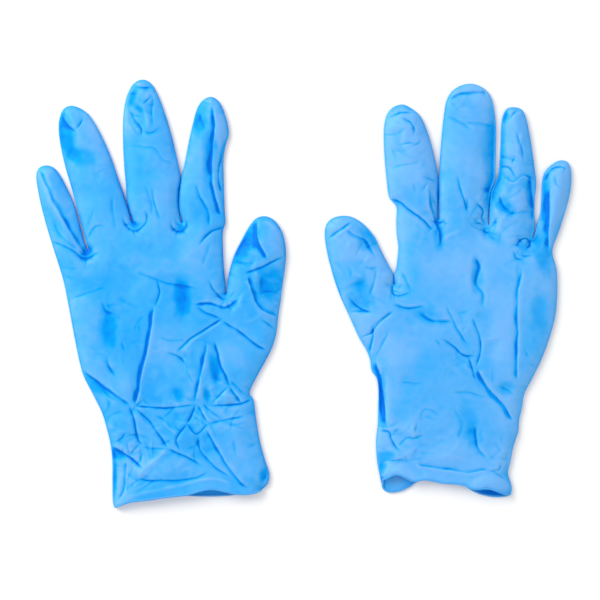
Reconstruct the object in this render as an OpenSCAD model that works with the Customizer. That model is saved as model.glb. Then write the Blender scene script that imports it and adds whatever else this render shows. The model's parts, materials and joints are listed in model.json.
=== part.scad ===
// A pair of disposable nitrile gloves, size M, lying flat side by side.
// Each glove is one dipped film. It is divided where it folds: at the wrist, at each
// knuckle and at the middle of each finger. Millimetres, +Z up, resting on z = 0.

/* [Film] */
// Thickness of the dipped film
film_t = 0.1; // [0.08:0.01:0.3]
// Height of the hand, filled with a little air as it lies flat
hand_h = 8; // [6.5:0.5:10]
// Height of the fingers as they lie flat
finger_h = 7; // [6:0.5:9]
// Diameter of the rolled edge at the mouth
bead_d = 1.4; // [1:0.1:2]

/* [Fingers] */
// Share of a finger's length between its knuckle and its middle fold
fold_share = 0.5; // [0.4:0.02:0.6]
// Gap left at each fold, so that the two sides can turn past each other
fold_gap = 0.3; // [0.2:0.1:0.5]

/* [Cuff] */
// Height of the open mouth between the two layers of film
mouth_h = 7.5; // [6.5:0.5:10]

/* [Hidden] */
GLOVES = ["left", "right"];
FINGERS = ["little", "ring", "middle", "index", "thumb"];

// The colour of the dipped film
film_colour = [0.3, 0.7, 1];

// Each finger: [x, y] of its knuckle, its lean to the left in degrees, its width at the
// knuckle, at the middle fold and before the rounded tip, and its length.
left_fingers = [
    [[-130.7, 23], 16.5, 18.5, 18.5, 14, 51.5],
    [[-110.5, 38.7], 17.5, 26, 27, 21, 70],
    [[-83.2, 42.5], 5.5, 26.5, 29, 23, 78.5],
    [[-56.8, 40.5], -4, 23.5, 22.5, 18, 70],
    [[-28.5, -1], -9, 30, 28.5, 19, 44.5]];
right_fingers = [
    [[136.3, 31], -11, 14.5, 17, 14, 44],
    [[117.3, 39.5], -1.5, 24, 20.5, 14, 65],
    [[90.2, 42.5], -2.5, 26, 30.5, 25, 76],
    [[64.4, 43], 8, 23, 27, 21, 64],
    [[35.5, 1.5], 18, 31, 30.5, 23, 44]];

// The outline of each palm, and of the mound at the root of each thumb. Both run past
// the folds, where the plan trims them.
left_palm = [[-115, -72], [-29, -72], [-44.8, 5], [-44.8, 50], [-70, 58], [-100, 58],
    [-136, 44], [-142, 24], [-129, -28]];
left_mound = [[-60, -72], [-28, -72], [-27, -56], [-17.5, -32], [-12.5, -10], [-12.5, 12],
    [-44, 12]];
right_palm = [[43, -66], [121, -66], [141, -20], [144, 2], [143, 24], [141, 44],
    [110, 58], [80, 58], [53, 50], [52.6, 6]];
right_mound = [[90, -66], [43, -66], [40, -48], [26, -14], [19, -3], [24, 14], [52, 14]];

// The sections of each cuff from the wrist to the mouth: [x, y], turn, width.
left_cuff = [[[-73.6, -61], 0, 89], [[-65.5, -88], 4, 85], [[-63, -112.5], 9, 88]];
right_cuff = [[[83, -56], 0, 84], [[79.8, -82], 0, 78], [[80, -110], -2, 73]];

// Points round each quarter turn of a section, round the rolled edge and round the
// upright corners of the bag
quarter = 3;
bead_sides = 8;
corner_sides = 16;
// How far round its curve each ring of a rounded fingertip stands, in degrees
tip_turns = [0, 25, 45, 62, 78];
// How far round the bag's edge each disc at its corners stands, from its middle up
edge_turns = [0:30:90];
// How far the rolled edge bites on the film that it ends
bead_bite = 0.1;
// A little more than any part of a glove is high, to cut right through it
through = 3 * hand_h;
// How far the plan runs past the hand's sides
side_room = 30;
// How far the hollow runs through each end of the hand, both ways together
run_through = 2;
// The radius at the outline's corners where the bag is flat, and its thinnest layer
corner_r = 0.2;
thinnest = 0.001;

function along(p, turn, d) = p + d * [-sin(turn), cos(turn)];
function across(p, turn, d) = p + d * [cos(turn), sin(turn)];

// A flattened section: [x, y], turn, width, height, height of its underside. Its ends
// are half circles. It comes back as points, first up its right end and then down its
// left one, with steps points in a quarter turn.
function section(s, inset = 0, steps = quarter) =
    let (round_r = s[3] / 2, reach = s[2] / 2 - round_r)
    [for (side = [1, -1]) for (k = [-steps : steps])
        let (a = 90 * side * k / steps, d = side * (reach + (round_r - inset) * cos(a)),
            p = across(s[0], s[1], d))
        [p.x, p.y, s[4] + round_r + (round_r - inset) * sin(a)]];

// Triangles between two rings of n points that start at a and b
function band(a, b, n) = [for (i = [0 : n - 1]) let (j = (i + 1) % n)
    each [[a + i, a + j, b + j], [a + i, b + j, b + i]]];
function flipped(faces) = [for (f = faces) [f[2], f[1], f[0]]];
function lifted(faces, by) = [for (f = faces) [for (i = f) i + by]];

// A tube of film through the sections. A closed tube has an end face on its last one.
module film_tube(sections, closed = false) {
    n = 4 * quarter + 2;
    last = len(sections) - 1;
    inner = n * (last + 1);
    outside = [for (s = sections) each section(s)];
    // The film closes a fingertip too, so its last inner ring stays behind the outer one
    inside = [for (i = [0 : last]) each section(closed && i == last
        ? [along(sections[i][0], sections[i][1], -film_t), each [for (k = [1 : 4]) sections[i][k]]]
        : sections[i], film_t)];
    walls = [for (k = [0 : last - 1]) each band(n * k, n * (k + 1), n)];
    mouth = band(inner, 0, n);
    far_end = closed
        ? [[for (i = [0 : n - 1]) n * last + i], [for (i = [n - 1 : -1 : 0]) inner + n * last + i]]
        : band(n * last, inner + n * last, n);
    color(film_colour)
        polyhedron(concat(outside, inside), concat(walls, flipped(lifted(walls, inner)), mouth, far_end));
}

// The finger's section at a distance d from its knuckle
function finger_section(f, d, w, h) = [along(f[0], f[1], d), f[1], w, h, (finger_h - h) / 2];

module finger_base(f) {
    fold = f[5] * fold_share;
    film_tube([finger_section(f, fold_gap, f[2], finger_h),
        finger_section(f, fold / 2, (f[2] + f[3]) / 2, finger_h),
        finger_section(f, fold, f[3], finger_h)]);
}

module finger_tip(f) {
    fold = f[5] * fold_share + fold_gap;
    tip_r = f[4] / 2;
    film_tube(concat([finger_section(f, fold, f[3], finger_h)],
        [for (a = tip_turns)
            finger_section(f, f[5] - tip_r * (1 - sin(a)), f[4] * cos(a), finger_h * cos(a))]),
        closed = true);
}

// A bag of air with rounded edges round the outline, shrunk by the inset
module bag(outline, inset = 0) {
    edge_r = hand_h / 2;
    centre = [for (k = [0, 1]) [for (p = outline) p[k]] * [for (p = outline) 1] / len(outline)];
    hull() for (p = outline) {
        c = p + edge_r * (centre - p) / norm(centre - p);
        for (a = edge_turns)
            translate([c.x, c.y, edge_r])
                cylinder(h = max(2 * (edge_r - inset) * cos(a), thinnest),
                    r = corner_r + (edge_r - inset) * sin(a), center = true, $fn = corner_sides);
    }
}

// The hand's plan: it ends square to each finger and at the wrist
module plan(fingers, wrist) {
    hand = sign(fingers[4][0].x - fingers[0][0].x);
    ends = [for (f = fingers) each [
        across(f[0], f[1], -hand * f[2] / 2),
        across(f[0], f[1], hand * f[2] / 2)]];
    wrist_y = wrist[0].y + fold_gap;
    polygon(concat(
        [across(ends[0], fingers[0][1], -hand * side_room)],
        ends,
        [across(ends[9], fingers[4][1], hand * side_room),
            [wrist[0].x + hand * wrist[2], wrist_y],
            [wrist[0].x - hand * wrist[2], wrist_y]]));
}

// The plan of the hollow: inside the film, and open into each finger and at the wrist
module hollow_plan(fingers, wrist) {
    offset(delta = -film_t) plan(fingers, wrist);
    for (f = fingers)
        translate(f[0]) rotate(f[1]) square([f[2] - 2 * film_t, run_through], center = true);
    translate(wrist[0]) square([wrist[2] * 2, run_through], center = true);
}

module hand(fingers, cuff, palm, mound) color(film_colour) difference() {
    intersection() {
        union() {
            bag(palm);
            bag(mound);
        }
        linear_extrude(through, center = true) plan(fingers, cuff[0]);
    }
    intersection() {
        union() {
            bag(palm, film_t);
            bag(mound, film_t);
        }
        linear_extrude(through, center = true) hollow_plan(fingers, cuff[0]);
    }
}

// The mouth's section stands clear of the table by what the rolled edge sticks out
function cuff_sections(cuff) =
    let (clear = (bead_d - film_t) / 2)
    [[each cuff[0], hand_h, 0], [each cuff[1], (hand_h + mouth_h) / 2 - clear, clear / 2],
        [each cuff[2], mouth_h - 2 * clear, clear]];

module cuff(stations) film_tube([for (i = [2 : -1 : 0]) cuff_sections(stations)[i]]);

// The film's edge rolled up on itself: a round rim all the way round the mouth
module cuff_bead(stations) {
    mouth = cuff_sections(stations)[2];
    steps = 2 * quarter;
    n = 4 * steps + 2;
    rims = [for (k = [0 : bead_sides - 1])
        let (b = 360 * k / bead_sides, back = bead_d / 2 * (1 + sin(b)) - bead_bite)
        each section([along(mouth[0], mouth[1], -back), each [for (i = [1 : 4]) mouth[i]]],
            film_t / 2 - bead_d / 2 * cos(b), steps)];
    color(film_colour)
        polyhedron(rims, [for (k = [0 : bead_sides - 1])
            each flipped(band(n * k, n * ((k + 1) % bead_sides), n))]);
}

module glove(name, fingers, cuff_stations, palm, mound) {
    hand(fingers, cuff_stations, palm, mound);
    cuff(cuff_stations);
    cuff_bead(cuff_stations);
    for (i = [0 : 4]) {
        finger_base(fingers[i]);
        finger_tip(fingers[i]);
    }
}

glove("left", left_fingers, left_cuff, left_palm, left_mound);
glove("right", right_fingers, right_cuff, right_palm, right_mound);
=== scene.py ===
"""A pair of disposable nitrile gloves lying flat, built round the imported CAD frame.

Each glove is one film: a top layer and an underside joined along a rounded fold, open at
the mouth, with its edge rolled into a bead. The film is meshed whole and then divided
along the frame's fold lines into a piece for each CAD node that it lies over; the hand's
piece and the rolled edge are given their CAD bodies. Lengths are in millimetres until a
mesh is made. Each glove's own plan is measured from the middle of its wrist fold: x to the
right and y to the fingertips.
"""

import json
import math
from collections import namedtuple

import bpy
import numpy as np
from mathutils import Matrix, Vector, kdtree
from mathutils.geometry import delaunay_2d_cdt


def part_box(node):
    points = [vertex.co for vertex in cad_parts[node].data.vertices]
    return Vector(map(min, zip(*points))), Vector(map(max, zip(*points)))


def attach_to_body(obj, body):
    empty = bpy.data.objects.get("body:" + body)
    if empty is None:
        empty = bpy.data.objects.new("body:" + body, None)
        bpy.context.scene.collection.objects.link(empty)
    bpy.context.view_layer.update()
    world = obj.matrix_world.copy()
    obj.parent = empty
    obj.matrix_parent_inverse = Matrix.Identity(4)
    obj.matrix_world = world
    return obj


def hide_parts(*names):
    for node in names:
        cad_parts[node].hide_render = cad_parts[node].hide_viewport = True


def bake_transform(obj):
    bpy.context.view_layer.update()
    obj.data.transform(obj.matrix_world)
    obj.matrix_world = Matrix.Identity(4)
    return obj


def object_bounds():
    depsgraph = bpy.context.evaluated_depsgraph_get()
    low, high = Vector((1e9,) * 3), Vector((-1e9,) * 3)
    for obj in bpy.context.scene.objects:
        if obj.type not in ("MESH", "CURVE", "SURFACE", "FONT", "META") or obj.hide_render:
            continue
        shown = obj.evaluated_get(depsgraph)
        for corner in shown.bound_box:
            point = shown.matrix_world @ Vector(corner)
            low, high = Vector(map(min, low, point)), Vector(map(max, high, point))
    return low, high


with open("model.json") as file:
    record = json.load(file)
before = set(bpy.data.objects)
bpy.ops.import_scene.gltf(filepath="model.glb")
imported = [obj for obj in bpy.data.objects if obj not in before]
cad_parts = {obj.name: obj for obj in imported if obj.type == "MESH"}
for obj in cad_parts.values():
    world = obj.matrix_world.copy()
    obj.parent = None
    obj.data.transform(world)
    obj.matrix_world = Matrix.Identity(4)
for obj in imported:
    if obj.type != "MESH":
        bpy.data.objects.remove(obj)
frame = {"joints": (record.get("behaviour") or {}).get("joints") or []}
CAD_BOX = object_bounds()

MM = 0.001
JOINTS = {joint["name"]: joint for joint in frame["joints"]}
FINGERS = ["little", "ring", "middle", "index", "thumb"]

# One layer of a glove's film: its points in the plan, their triangles, the triangles' edges
# on the fold lines, and the vertices' places and shades, painted shade and light among them
Layer = namedtuple("Layer", "points triangles cuts coords shade")

# ---------------------------------------------------------------- terms of noise
# Each term has a strength, the size of its features, and a shift to its part of the pattern
LIFT_WAVES = [(0.5, 41.0, 0)]  # where the side fold lifts off the table
AIR_WAVES = [(0.15, 47.0, 250)]  # how the air inside is spread
SOFT_WAVES = [(0.35, 23.0, 0), (0.16, 9.5, 300), (0.04, 2.9, 100)]  # in the top layer
RIPPLES = [(0.14, 6.3, 700)]  # folded up into sharp-edged ripples in the top layer
RIPPLE_TOP = 0.07  # how high those ripples reach
UNDER_WRINKLES = [(0.5, 11.0, 500), (0.2, 5.0, 900)]  # the same in the underside
CREASE_WAVES = [(0.35, 8.0, 810)]  # in a crease's depth
DENT_WAVES = [(0.35, 7.0, 410), (0.2, 3.1, 620)]  # in a dent's edge

# ---------------------------------------------------------------- the film's measures
TOP_STEP = 0.75  # spacing of the top layer's vertices
UNDER_STEP = 1.3  # spacing of the underside's vertices
RIM_STEP = 0.8  # spacing along the outline and the creases
TOP_RINGS = (0.14, 0.45)  # how far in from the outline the top layer has rings of vertices
UNDER_RINGS = (0.3,)  # the same for the underside
RING_ROOM = 0.9  # how near another part of the outline a ring may come, in its own depths
LATTICE_ROOM = 0.55  # how near other vertices the lattice between them may come, in its steps
RIM_CLEAR = 0.9  # how far from the outline a crease has vertices of its own
MESHED_DEPTH = 0.6  # the least depth of a crease that has vertices of its own
FOLD_R = 0.75  # radius of the fold where the two layers meet
UNDER_DROP = 0.7125  # how far below that fold the underside lies
RIM_Z = 0.8  # height of that fold above the table
RIM_LIFT = 0.7  # the most that the fold lifts off the table
LIFT_REACH = 9.0  # how far in from the fold that lift goes on the underside
AIR = 3.7  # how far the air inside lifts the top layer
AIR_REACH = 5.0  # how quickly it lifts away from the outline
RELIEF_REACH = 1.6  # how far in from the outline the relief reaches its full height
UNDER_REACH = 4.0  # the same for the underside
BEAD_R = 0.6  # radius of the rolled edge
BEAD_SIDES = 10  # sides round the rolled edge
BEAD_STEP = 0.7  # spacing along the rolled edge
BEAD_SWELL = 0.12  # how uneven the rolled edge's radius is
BEAD_ROOM = 5.0  # how far in from the mouth the underside is held up for the rolled edge
LEAST_Z = 0.04  # the underside's lowest place
FILM_GAP = 0.3  # the least space between the two layers
PULL_REACH = 26.0  # how far in from the mouth a pulled edge draws the film with it

# ---------------------------------------------------------------- creases
CREASE_END = 5.0  # how far from its end a crease reaches its full depth
CREASE_START = 0.2  # how much of that depth's ease it has at its very end
CREASE_WANDER, QUICK_WANDER = 0.55, 0.165  # how far it wanders from its smooth line
SLOW_DRIFT, QUICK_DRIFT = (10.0, (910, 960)), (3.7, (810, 860))  # size and shifts of its wandering
CREASE_MEAN = 0.75  # a crease's depth as a whole, which CREASE_WAVES makes uneven
STEP_FACE = 0.9  # width of the steep face of a fold of film over film
STEP_RISE, STEP_DROP = 0.35, 1.1  # how far such a fold's high side rises and its low side drops
BAND_WIDTH = 0.55  # width of the band of painted shade beside that face, in widths of the crease
BAND_EDGE = 1.3  # how soft that band's far edge is
LEE_FACE = 1.2  # how far from a valley's line its two sides become unlike
LEE_FILL = 0.35  # how much shallower its left side is
LIP_AT, LIP_WIDTH, LIP_RISE = 0.36, 0.16, 0.16  # where a valley's lip is, its width and its rise
CORE_WIDTH, SIDE_SHADE_WIDTH = 0.16, 0.75  # widths of a valley's line of painted shade and of the painted shade beside it
FAINT_COUNT = 175  # how many faint creases each glove has
FAINT_RIDGES = 0.3  # the share of them that are ridges
FAINT_ROOM = 1.1  # how far from a crushed zone's middle they go, in its radii
FAINT_BOW = 0.16  # how far they bow sideways, in their lengths
FAINT_LENGTH = (4, 15)
FAINT_WIDTH = (1.6, 3.4)
FAINT_DEPTH = (0.2, 0.55)
PUCKER_AWRY = 0.3  # how unevenly a knot's folds are spread round it, in their spacing
PUCKER_REACH = (0.6, 1.15)  # how far out they run, in the knot's radii
PUCKER_BEND = (0.25, 0.7)  # how far they curve round the knot, in radians
PUCKER_PLACES = (0.2, 0.6, 1.0)  # where along a fold its points are
PUCKER_WIDTH = (1.4, 2.2)
PUCKER_DEPTH = (0.5, 0.9)

# ---------------------------------------------------------------- crushed film
CRUMPLE_EVERYWHERE = 0.3  # how crushed the film is outside its crushed zones
ZONE_REACH = 1.6  # how far out a crushed zone fades away, in its radii
FACETS = [(0.95, 12.0), (0.42, 5.6)]  # rise and size of the facets where it is crushed
FACET_WARP = 1.2  # how far the facets' straight edges are bent
FACET_DRIFT = (9.0, (33, 77))  # size and shifts of that bending
DENT_FLAT = 2.6  # how flat a dent's middle is: 2 is a bell curve
DENT_REACH, DENT_EDGE = 1.5, 1.05  # how far out a dent's shade goes, and how soft it ends

# ---------------------------------------------------------------- tones with painted shade and painted highlights, 0 light to 1 dark
VALLEY_SHADE = 0.5  # a valley's line of painted shade, for each millimetre of its depth
SIDE_SHADE = 0.4  # the painted shade beside that line, on its right side, as a share of it
LIP_LIGHT = 0.22  # how much a painted highlight lightens a valley's lip
RIDGE_LIGHT = 0.2  # how much a painted highlight lightens a ridge
BAND_SHADE = 0.31  # how dark the band of painted shade beside a fold of film over film is
DENT_SHADE = 0.36  # how much painted shade darkens a dent, for each millimetre that it sinks
SWELL_SHADE = 0.22  # how much painted light lightens a swell, for each millimetre that it rises
MOST_DENT_SHADE = 0.36  # the most that the painted shade darkens the dents
EVERY_FACET_SHADE = (0.15, 17.0)  # how unlike the facets' tones are everywhere, and their size
CRUSHED_FACET_SHADE = (0.1, 7.0)  # the same where the film is crushed
CLOUD_SHADE = [(0.1, 21.0, 50)]  # how cloudy the tone is, as a term of noise
CAVITY = 0.75  # how much painted shade darkens a hollow, and painted light lightens a rise, for each millimetre below or above the film round it
CAVITY_EASE = 16  # how many times the heights are eased to find the film round a point
EASE_SHARE = 0.7  # the neighbours' share in each easing
UNDER_SHADE = 0.35  # the most that the underside's tone, painted shade included, darkens it away from the mouth
MOUTH_SHADE = 0.6  # how much painted shade darkens the underside at the mouth
MOUTH_REACH = 16.0  # how far in from the mouth that goes

# ---------------------------------------------------------------- colours, light and camera
# The film's colour for each value of its shade, painted shade and painted highlights included, light to
# dark
FILM_TONES = [(0.0, (0.185, 0.51, 0.97)), (0.35, (0.068, 0.45, 0.96)), (0.7, (0.001, 0.37, 0.93)),
              (0.9, (0.0004, 0.27, 0.87)), (1.0, (0.0, 0.18, 0.76))]
BEAD_TONES = [(0.0, (0.09, 0.42, 0.88)), (1.0, (0.003, 0.33, 0.83))]
FILM_ROUGHNESS, BEAD_ROUGHNESS = 0.42, 0.38
THROUGH_COLOUR = (0.012, 0.42, 0.95, 1)  # what light is left when it has passed the film
SPECULAR_TINT = (0.08, 0.55, 1.0, 1)
FLOOR_COLOUR = (0.93, 0.93, 0.93, 1)

# In metres, as the scene is: lamps by name, place from the gloves' middle, size and watts
WORLD_LIGHT = 0.72
LAMPS = [("key", (-1.1, 0.8, 0.9), 1.3, 23.0), ("fill", (0.9, -0.4, 1.5), 1.6, 4.0)]
FLOOR_HALF = 3.0
FLOOR_Z = -0.0003
CAMERA_HEIGHT = 1.3
CAMERA_PLACE = (-0.0017, -0.004)  # where the camera stands, from over the gloves' middle
VIEW_WIDTH = 0.339  # how much of the floor the camera sees, from side to side
SENSOR = 36.0  # the camera's sensor width in millimetres

# ---------------------------------------------------------------- the gloves' plans
# The outline runs clockwise from the little-finger corner of the mouth. MOUTH is how
# many of its last points lie along the mouth.
LEFT_OUTLINE = [
    (-32.8, -59.9), (-34, -47), (-34, -35), (-35, -25), (-37.5, -14.5), (-40, -6.5), (-45, 3.5),
    (-50.5, 14.5), (-53, 24), (-56, 39), (-59, 55), (-61.5, 67), (-64, 75.5), (-67.5, 86.5),
    (-71.2, 98.5), (-74.2, 110), (-76.4, 121), (-77, 127), (-75.8, 131), (-72, 132.8),
    (-67.5, 131.8), (-63.6, 127.3), (-59.6, 119.8), (-56, 111.7), (-53.5, 103.6),
    (-51.4, 95.5), (-49.6, 89), (-47.9, 84.9), (-47.7, 84.9), (-49.2, 91), (-50.9, 97), (-53.2, 105.6),
    (-57, 119.8), (-60.6, 132), (-63.1, 143), (-64.3, 152), (-63.9, 159), (-61.6, 164.6),
    (-57.5, 166.5), (-53, 165.4), (-48.3, 162.4), (-44, 156.6), (-39.4, 148), (-34.8, 137.4),
    (-30.8, 125.8), (-27.6, 116.7), (-25.2, 109), (-22.7, 101), (-22.5, 101), (-24.9, 109),
    (-25.9, 114), (-26.4, 122), (-27.3, 132), (-28, 145), (-28, 157), (-27.2, 166.2),
    (-25.2, 173.7), (-21.7, 179.2), (-17, 181.3), (-12.6, 179.5), (-9.1, 174.2),
    (-5.6, 165.7), (-1.5, 153), (1.5, 141), (3.5, 132), (4.5, 125.6), (3.4, 117), (3.4, 109),
    (5.2, 100.8), (5.4, 100.8), (3.6, 109), (3.6, 117), (4.9, 126), (7, 135), (9.1, 146),
    (11.6, 157), (14.2, 165.6), (17.6, 170), (22, 171.5), (26, 169), (29.2, 162.6),
    (31.3, 155), (31.7, 150), (30.1, 144.6), (28.7, 136), (28.9, 122), (29.4, 107),
    (29.8, 100.6), (28.4, 95.6), (28.5, 83.4), (29.1, 73), (29.8, 66), (29.9, 60.4), (30.1, 60.4),
    (31.2, 69), (33.2, 77.4), (34.8, 82.4), (38.8, 90.4), (43.4, 98.6), (47.4, 103),
    (52.4, 104.1), (57, 102.1), (61, 97), (63.2, 90.4), (64, 82.4), (63.2, 73.3),
    (62, 65.3), (61, 57), (59.5, 47), (58.6, 38.8), (56.5, 30.8), (52, 21.7), (47, 12.6),
    (43.4, 4), (45.4, 1), (46.9, -8.6), (49.2, -22.7), (51.9, -32.8), (54.6, -42),
    (53.6, -47), (50, -50.2), (45, -52), (36.8, -52.6), (27.7, -53.4), (16, -53.6),
    (4.5, -53.2), (-6, -54.4), (-15.7, -55.8), (-24.8, -57), (-29.6, -58.8)]
LEFT_MOUTH = 10
RIGHT_OUTLINE = [
    (-38, -54), (-40.2, -46), (-41.5, -36), (-41.7, -26), (-40.9, -19.6), (-40.6, -8),
    (-40.5, 2), (-41.6, 8), (-44.2, 11.6), (-45.1, 17.7), (-47, 22.9), (-51.3, 30.3),
    (-54.8, 38), (-58, 45), (-61.6, 53), (-65, 62.3), (-67.9, 72.4), (-69.9, 81.5),
    (-70.7, 88.5), (-70, 94), (-66.9, 97.6), (-61.8, 99.2), (-55.8, 98.8), (-50.7, 96.1),
    (-46.2, 92), (-42.6, 87.4), (-38.6, 79), (-34.6, 71.4), (-32, 66), (-31.8, 60.7),
    (-31.6, 60.7), (-31.6, 66), (-30.4, 70), (-29.6, 76), (-29.2, 82), (-30.1, 88.5),
    (-30.4, 96.6), (-30.4, 104.6), (-34.2, 109.4), (-35.6, 117.8), (-36.8, 130), (-37.4, 142),
    (-37.2, 150), (-35.4, 157), (-32, 160.7), (-26.5, 162.2), (-22.5, 160.4), (-18, 157),
    (-14.9, 152), (-11.9, 144), (-9.4, 135), (-7.5, 126), (-6.7, 119), (-6.8, 110), (-6.9, 97.4),
    (-6.7, 97.4), (-6.6, 110), (-6.4, 119), (-5.8, 131), (-4.8, 144), (-3.5, 156),
    (-1.8, 164.7), (1.2, 169.7), (5.8, 172.7), (11.3, 173.9), (16.8, 172.6), (20.9, 169.7),
    (23.4, 165.7), (25.1, 158), (25.9, 149), (25.8, 139), (25.6, 127), (25.4, 119.6),
    (23.1, 113), (21.9, 104), (21.6, 94.4), (21.8, 94.4), (22.1, 104), (23.3, 113), (25.8, 118.8),
    (27.2, 123), (27.8, 129), (28.5, 139), (28.8, 149), (29.9, 156), (32.4, 160),
    (36.5, 160.6), (40.5, 159.3), (42.7, 155), (44.6, 147), (46.1, 138), (47.6, 127),
    (48.6, 118), (48, 110), (47.6, 101.6), (48, 94), (46.7, 86.7), (46.9, 86.7), (48.6, 93),
    (50.8, 100.6), (51.5, 110.7), (52, 118.8), (53.4, 124), (57.2, 128), (61.8, 130.5),
    (66, 130), (68.1, 126), (68.5, 119), (67.7, 112), (65.3, 102.6), (61.8, 91.5),
    (57.8, 79), (60, 70), (60.6, 60), (59.6, 44), (57.2, 34), (52.2, 19.7), (46.1, 7),
    (42, -1), (40.5, -9.5), (39, -16), (38.4, -22.7), (36, -30), (34, -40), (32.7, -46),
    (34.8, -54), (34, -57.6), (27, -59), (17, -57.4), (11, -54.4), (7.6, -52.2),
    (-4.3, -51), (-16.4, -49.3), (-22.5, -53), (-28.5, -55.8), (-35, -56.2)]
RIGHT_MOUTH = 10

# How each layer's edge is drawn back at the mouth: layer, middle, half width, how far, and
# how much darker than elsewhere the painted shade leaves the inside there
LEFT_PULLS = [("top", 21.6, 18, 4.0, -0.35), ("under", -14, 20, 1.2, 0)]
RIGHT_PULLS = [("top", -31, 14, 10.0, -0.4), ("top", 22, 14, 4.2, 0.4), ("under", -5, 13, 2.0, 0)]
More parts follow.
